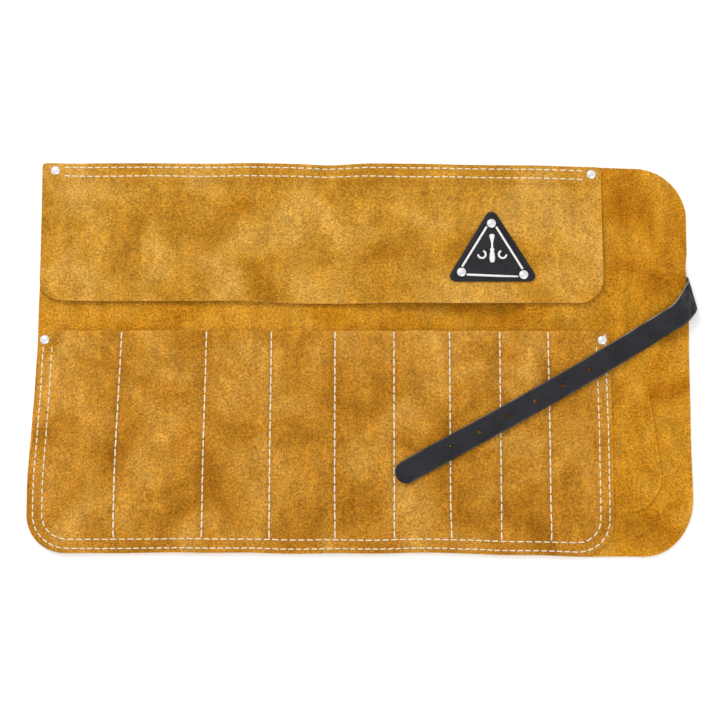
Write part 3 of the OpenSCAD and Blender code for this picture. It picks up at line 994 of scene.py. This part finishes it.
def badge_blank():
    bm = bmesh.new()
    made = bmesh.ops.create_circle(bm, cap_ends=True, segments=3, radius=1)["verts"]
    places, tangent = sharp_triangle()
    for point, place in zip(made, places):
        point.co = (*place, 0)
    bmesh.ops.bevel(
        bm, geom=made, offset=tangent, offset_type="OFFSET", segments=9,
        profile=0.5, affect="VERTICES", material=-1,
    )
    return bm


badge_bm = badge_blank()
grown = bmesh.ops.extrude_face_region(badge_bm, geom=badge_bm.faces[:])
bmesh.ops.translate(badge_bm, vec=(0, 0, BADGE_T), verts=only(grown, bmesh.types.BMVert))
face = only(grown, bmesh.types.BMFace)
for thickness, depth in ((0.7, 0.0), (2.6, RIM_SWELL), (0.9, -BADGE_SINK - RIM_SWELL)):
    bmesh.ops.inset_region(badge_bm, faces=face, thickness=thickness, depth=depth)
bmesh.ops.recalc_face_normals(badge_bm, faces=badge_bm.faces[:])
on_flap(badge_bm)
badge = make_piece("badge", badge_bm, [badge_leather], ["badge_plate"], "flap")
soften(badge, "pressed edge", 0.35, segments=3, angle=35)

# %% [markdown]
# The paint sits in the pressed field: three lines from rivet to rivet, and a gouge
# between two curled shavings. Each line is a thin raised strip with soft sides. The
# gouge is a strip whose width follows the tool's outline.

# %% Painted lines and emblem
PAINT_LEVEL = BADGE_T - BADGE_SINK
PAINT_T = 0.14
rivet_low, rivet_high = corners_of("badge_rivets")
badge_places = [
    (badge_x - 0.4, rivet_high.y - CAP_R - 0.9),
    (rivet_low.x + CAP_R, rivet_low.y + CAP_R - 1.2),
    (rivet_high.x - CAP_R, rivet_low.y + CAP_R - 3.6),
]


def outline_strip(bm, outline, place, turn):
    made = bmesh.ops.create_grid(bm, x_segments=2, y_segments=len(outline) - 1, size=1)["verts"]
    for point in made:
        along, half = outline[round((point.co.y + 1) / 2 * (len(outline) - 1))]
        point.co = (point.co.x * half, along, 0)
    bmesh.ops.rotate(bm, verts=made, cent=(0, 0, 0), matrix=Matrix.Rotation(turn, 3, "Z"))
    bmesh.ops.translate(bm, vec=(*place, PAINT_LEVEL), verts=made)


def raise_paint(bm):
    grown = bmesh.ops.extrude_face_region(bm, geom=bm.faces[:])
    bmesh.ops.translate(bm, vec=(0, 0, PAINT_T), verts=only(grown, bmesh.types.BMVert))
    bmesh.ops.recalc_face_normals(bm, faces=bm.faces[:])
    on_flap(bm)


lines_bm = bmesh.new()
LINE_HALF, LINE_END_HALF, LINE_OUT = 1.0, 0.7, 2.1
LINE_GAP, LINE_TAPER = CAP_R + 0.6, 0.5
for start, end in zip(badge_places, badge_places[1:] + badge_places[:1]):
    first, last = Vector(start), Vector(end)
    span = last - first
    far = span.length - LINE_GAP
    outline = [
        (LINE_GAP, LINE_END_HALF), (LINE_GAP + LINE_TAPER, LINE_HALF),
        (far - LINE_TAPER, LINE_HALF), (far, LINE_END_HALF),
    ]
    outward = Vector((-span.y, span.x)).normalized() * -LINE_OUT
    outline_strip(lines_bm, outline, first + outward, math.atan2(span.y, span.x) - math.pi / 2)
raise_paint(lines_bm)
make_piece("badge_border_lines", lines_bm, [badge_paint], ["badge_lines"], "flap")

emblem_foot = corners_of("badge_emblem")[0].y
handle = [(0, 1.2), (0.6, 2.0), (3.5, 2.6), (8, 2.2), (11, 1.5)]
ferrule = [(11.4, 1.9), (13, 1.9)]
blade = [(13.4, 0.9), (18, 0.9), (21, 1.4), (25, 2.5), (26.3, 2.2), (26.9, 0.9)]
CURL_AWAY, CURL_UP = 9.5, 7.5
CURL_RADII = 2.6, 4.4
CURL_TURN = math.radians(250)
emblem_bm = bmesh.new()
outline_strip(emblem_bm, handle + ferrule + blade, (badge_x, emblem_foot), 0)
for side in (-1, 1):
    curl = bmesh.new()
    centre = Vector((badge_x + side * CURL_AWAY, emblem_foot + CURL_UP, PAINT_LEVEL))
    line = [curl.verts.new(centre + Vector((side * radius, 0, 0))) for radius in CURL_RADII]
    edge = curl.edges.new(line)
    bmesh.ops.spin(
        curl, geom=line + [edge], cent=centre, axis=(0, 0, 1), angle=-side * CURL_TURN, steps=20
    )
    emblem_bm.from_mesh(finished_mesh(curl, "curl"))
raise_paint(emblem_bm)
make_piece("badge_gouge", emblem_bm, [badge_paint], ["badge_emblem"], "flap")


# %% Badge rivets
def badge_surface(x, y):
    return flap_top(x, y) + BADGE_T


BADGE_BACK_CAP = 0.8
set_rivets(
    "badge_rivet_set", badge_places, badge_surface, BADGE_T + HIDE_T + BADGE_BACK_CAP,
    BADGE_BACK_CAP, "badge_rivets", "flap",
)

# %% [markdown]
# ## Strap
#
# The strap is one length of black leather. It is made flat, punched and rounded at
# the tip, and then laid: round the buckle's bar, along the back, round the hide's
# edge and down across the pockets. The flat strap is folded over a slanted line,
# which sends the loose end off at a slope. Its middle line drifts a little on the way
# there and bows after it, as leather does that has hung in one place. It is cut into
# three meshes at the two edges of that bend: the anchored part, the bend and the loose
# end.

# %% The fold as a rule for flat points
swing = joints["strap_swing"]
fold_point = Vector(swing["pos_m"][:2]) / MM
fold_line = Vector(swing["axis"][:2]).normalized()
fold_out = Vector((fold_line.y, -fold_line.x))
front_low, front_high = corners_of("strap_front")
STRAP_T = front_high.z - front_low.z
BEND_Z = swing["pos_m"][2] / MM
BEND_R = front_high.z - BEND_Z
BEND_LENGTH = math.pi * BEND_R
BACK_Z = BEND_Z - BEND_R
FRONT_DRIFT = -8.7
FRONT_BOW, BOW_BACK = 3.4, 1.4
FLAT_TIP = EDGE_X + 329.5


def drift(flat_x):
    out = flat_x - EDGE_X
    bow = FRONT_BOW * rise(out, 25, 150) - BOW_BACK * rise(out, 190, 310)
    turned = (FRONT_DRIFT - STRAP_DRIFT) * rise(out, -12, 36)
    return STRAP_DRIFT * rise(out, -62, -8) + turned - bow


def flat_place(flat_x, across):
    slope = drift(flat_x + 0.5) - drift(flat_x - 0.5)
    normal = Vector((-slope, 1)).normalized()
    out = flat_x - EDGE_X
    share = rise(out, -42, -10) * fall(out, 26, 62)
    row = normal.lerp(fold_line, share).normalized()
    return Vector((flat_x, STRAP_Y + drift(flat_x))) + row * (across / row.dot(normal))


def beyond_fold(flat):
    return (flat - fold_point).dot(fold_out)


def laid_place(flat, front_z):
    past = beyond_fold(flat)
    along = (flat - fold_point).dot(fold_line)
    if past <= 0:
        return Vector((flat.x, flat.y, BACK_Z))
    if past < BEND_LENGTH:
        angle = past / BEND_R
        out, level = BEND_R * math.sin(angle), BEND_Z - BEND_R * math.cos(angle)
    else:
        out, level = BEND_LENGTH - past, front_z
    place = fold_point + fold_line * along + fold_out * out
    return Vector((place.x, place.y, level))


SEARCH_BEFORE, SEARCH_AFTER = 20, 40
HALVINGS = 40


def flat_x_at(past):
    low, high = EDGE_X - SEARCH_BEFORE, EDGE_X + SEARCH_AFTER
    for step in range(HALVINGS):
        middle = (low + high) / 2
        if beyond_fold(flat_place(middle, 0)) < past:
            low = middle
        else:
            high = middle
    return low


bend_start, bend_end = flat_x_at(0), flat_x_at(BEND_LENGTH)
print("bend from", round(bend_start, 1), "to", round(bend_end, 1), "mm along the flat strap")

# %% [markdown]
# The loose end rests on what is under it. The height of the pockets is read along the
# strap, the highest points within a hand's breadth hold it up, and the result is
# smoothed, because a strap is too stiff to follow each seam.

# %% Height of the loose end
REST_STEP = 4
HOLD_REACH, SMOOTH_REACH = 3, 4
LOOSE_GAP = 0.2
LIFT_RUN = 55


def ground(x, y):
    inside = PANEL_LEFT < x < PANEL_RIGHT and y < PANEL_TOP + 1
    return panel_top(x, y) if inside else backing_top(x, y)


rows = (-STRAP_HALF, -STRAP_HALF / 2, 0, STRAP_HALF / 2, STRAP_HALF)
under = []
for mark in stations(bend_end, FLAT_TIP, REST_STEP):
    spots = [laid_place(flat_place(mark, across), 0) for across in rows]
    under.append(max(ground(spot.x, spot.y) for spot in spots))


def mean(values):
    return sum(values) / len(values)


def along_strap(values, reach, choose):
    return [choose(values[max(0, i - reach): i + reach + 1]) for i in range(len(values))]


held = along_strap(along_strap(under, HOLD_REACH, max), SMOOTH_REACH, mean)


def front_level(flat_x):
    place = max(0, (flat_x - bend_end) / REST_STEP)
    index = min(int(place), len(held) - 2)
    rest = held[index] + (held[index + 1] - held[index]) * min(1, place - index)
    lift = fall(flat_x - bend_end, 0, LIFT_RUN)
    return (rest + STRAP_T + LOOSE_GAP) * (1 - lift) + front_high.z * lift


print("loose end rests at", round(front_level(FLAT_TIP), 1), "mm")

# %% [markdown]
# At the buckle the strap is thinned, turned round the bar and riveted to itself. Its
# path there is a line in the side view, and a slot lets the tongue through.

# %% Path round the bar
BAR_Z = joints["buckle_swing"]["pos_m"][2] / MM
BAR_R = 1.25
BAR_STEPS = 12
EASE = 7.5
SKIVED_T = 1.4
TURNED_END = 222
TURNED_GAP = 0.06
EASED_X, HALF_EASED_X = BUCKLE_X + EASE, BUCKLE_X + EASE * 0.55
path_round = [(EASED_X, BACK_Z), (HALF_EASED_X, BACK_Z + 0.55)]
for step in range(BAR_STEPS + 1):
    angle = math.radians(90 + 180 * step / BAR_STEPS)
    path_round.append((BUCKLE_X + BAR_R * math.cos(angle), BAR_Z + BAR_R * math.sin(angle)))
BAR_PASSED = len(path_round) - 1
path_round.append((HALF_EASED_X, BACK_Z - 0.4))
path_round += [(EASED_X, BACK_Z - TURNED_GAP), (TURNED_END, BACK_Z - TURNED_GAP)]
path_round = [Vector(point) for point in path_round]
round_lengths = walk(path_round)
FLAT_START = EASED_X - round_lengths[-1]


def strap_place(flat_x, across):
    if flat_x < EASED_X:
        side = point_on(path_round, round_lengths, EASED_X - flat_x)
        return Vector((side.x, STRAP_Y + across, side.y))
    return laid_place(flat_place(flat_x, across), front_level(flat_x))


print("turned round the bar:", round(round_lengths[-1], 1), "mm of strap")

# %% [markdown]
# Columns stand where the holes, the slot and the bend need them. A hole is opened by
# lifting out a square of cells, then the opening's border is drawn in to a circle in
# two rings. The strap's face is rubbed paler along its cut edges and scuffed where it
# turns the hide's edge, and its upper edge carries a painted highlight from the turn
# onward.

# %% Cut, punch and lay the strap
PUNCH_R, PUNCH_FIRST, PUNCH_PITCH, PUNCH_COUNT = 1.9, 57, 29, 6
HOLE_HALF, HOLE_RING = 5, 3.2
SLOT_HALF, SLOT_PAST_BAR, SLOT_BEFORE_BAR = 2, 8, 10.5
SLOT = EASED_X - round_lengths[BAR_PASSED] - SLOT_PAST_BAR, BUCKLE_X + SLOT_BEFORE_BAR
holes = [FLAT_TIP - PUNCH_FIRST - PUNCH_PITCH * number for number in range(PUNCH_COUNT)]
side_marks = [SLOT_HALF, HOLE_HALF, 7.6, STRAP_HALF - 1.1, STRAP_HALF]
across_marks = [-mark for mark in reversed(side_marks)] + [0] + side_marks


def divide(marks, step):
    marks = sorted(marks)
    places = [marks[0]]
    for before, after in zip(marks, marks[1:]):
        count = max(1, math.ceil((after - before) / step - 0.001))
        places += [before + (after - before) * (part + 1) / count for part in range(count)]
    return places


def strap_wear_and_highlight(flat_x, across):
    out = flat_x - EDGE_X
    rim = rise(abs(across), STRAP_HALF - 1.2, STRAP_HALF)
    # The upper edge is paler from the turn on: a painted highlight where it catches the light,
    # on top of rubbed wear on both edges.
    rubbed_and_highlit = 0.22 + 0.7 * rise(out, -4, 6) * fall(out, 55, 120) * (across > 0)
    patchy = 0.7 + 0.9 * cloud(out, across, 13, 6.4)
    scuff = 0.16 * rise(out, -8, 6) * fall(out, 12, 30) * max(0, cloud(out, across, 4, 8.8))
    return min(1, max(0, rim * rubbed_and_highlit * patchy) + scuff)


def punch(bm, start, end):
    cut = []
    for face in bm.faces:
        centre = face.calc_center_median()
        in_slot = SLOT[0] < centre.x < SLOT[1] and abs(centre.y) < SLOT_HALF
        near_hole = any(abs(centre.x - hole) < HOLE_HALF for hole in holes)
        if in_slot or near_hole and abs(centre.y) < HOLE_HALF:
            cut.append(face)
    bmesh.ops.delete(bm, geom=cut, context="FACES")
    reach = 1.03 * math.hypot(HOLE_HALF, HOLE_HALF)
    for hole in holes:
        if start < hole < end:
            centre = Vector((hole, 0, 0))
            border = [
                edge for edge in bm.edges
                if edge.is_boundary and all((v.co - centre).length < reach for v in edge.verts)
            ]
            for radius in (HOLE_RING, PUNCH_R):
                points, border = grow_rim(bm, border)
                for point in points:
                    point.co = centre + (point.co - centre).normalized() * radius


def strap_part(name, start, end, marks, step, node):
    columns = divide([start, end] + [mark for mark in marks if start < mark < end], step)
    bm = flat_grid(columns, across_marks)
    punch(bm, start, end)
    for point in bm.verts:
        x, y = point.co.x, point.co.y
        for end_side in (-1, 1):
            x, y = round_corner(x, y, (FLAT_TIP, end_side * STRAP_HALF), STRAP_HALF, 1, end_side)
        point.co.x, point.co.y = x, y
    full = [rise(point.co.x, BUCKLE_X + 1, EASED_X + 5) for point in bm.verts]
    layer = bm.verts.layers.float.new("wear_light_and_shade")
    for point in bm.verts:
        point[layer] = strap_wear_and_highlight(point.co.x, point.co.y)
        point.co = strap_place(point.co.x, point.co.y)
    bmesh.ops.reverse_faces(bm, faces=bm.faces[:])
    body = {"strap_back": "roll", "strap_front": "strap"}.get(node)
    piece = make_piece(name, bm, [strap_leather, strap_cut], [node], body)
    wall = thicken(piece, STRAP_T, softness=0)
    group = piece.vertex_groups.new(name="full thickness")
    for index, weight in enumerate(full):
        group.add([index], weight, "REPLACE")
    wall.vertex_group = group.name
    wall.thickness_vertex_group = SKIVED_T / STRAP_T
    return piece


back_marks = [EASED_X - length for length in round_lengths[1:-1]] + [*SLOT, EASED_X]
hole_marks = [hole + side for hole in holes for side in (-HOLE_HALF, HOLE_HALF)]
loose_marks = hole_marks + [FLAT_TIP - STRAP_HALF]
strap_part("strap_anchored", FLAT_START, bend_start, back_marks, 4, "strap_back")
strap_bend = strap_part("strap_turn", bend_start, bend_end, [], 1.1, "strap_bend")
strap_part("strap_loose", bend_end, FLAT_TIP, loose_marks, 2.5, "strap_front")
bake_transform(strap_bend)

# %% [markdown]
# ## Buckle
#
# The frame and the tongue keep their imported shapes, which are right for cast and bent
# wire. They only get the polished finish.

# %% Buckle finish
for name in ("buckle_frame", "buckle_tongue"):
    node = frame["nodes"][name]
    for place in node.material_slots:
        place.material = buckle_steel
staying = [name for name, node in frame["nodes"].items() if not node.hide_render]
print("packed nodes that stay:", staying)
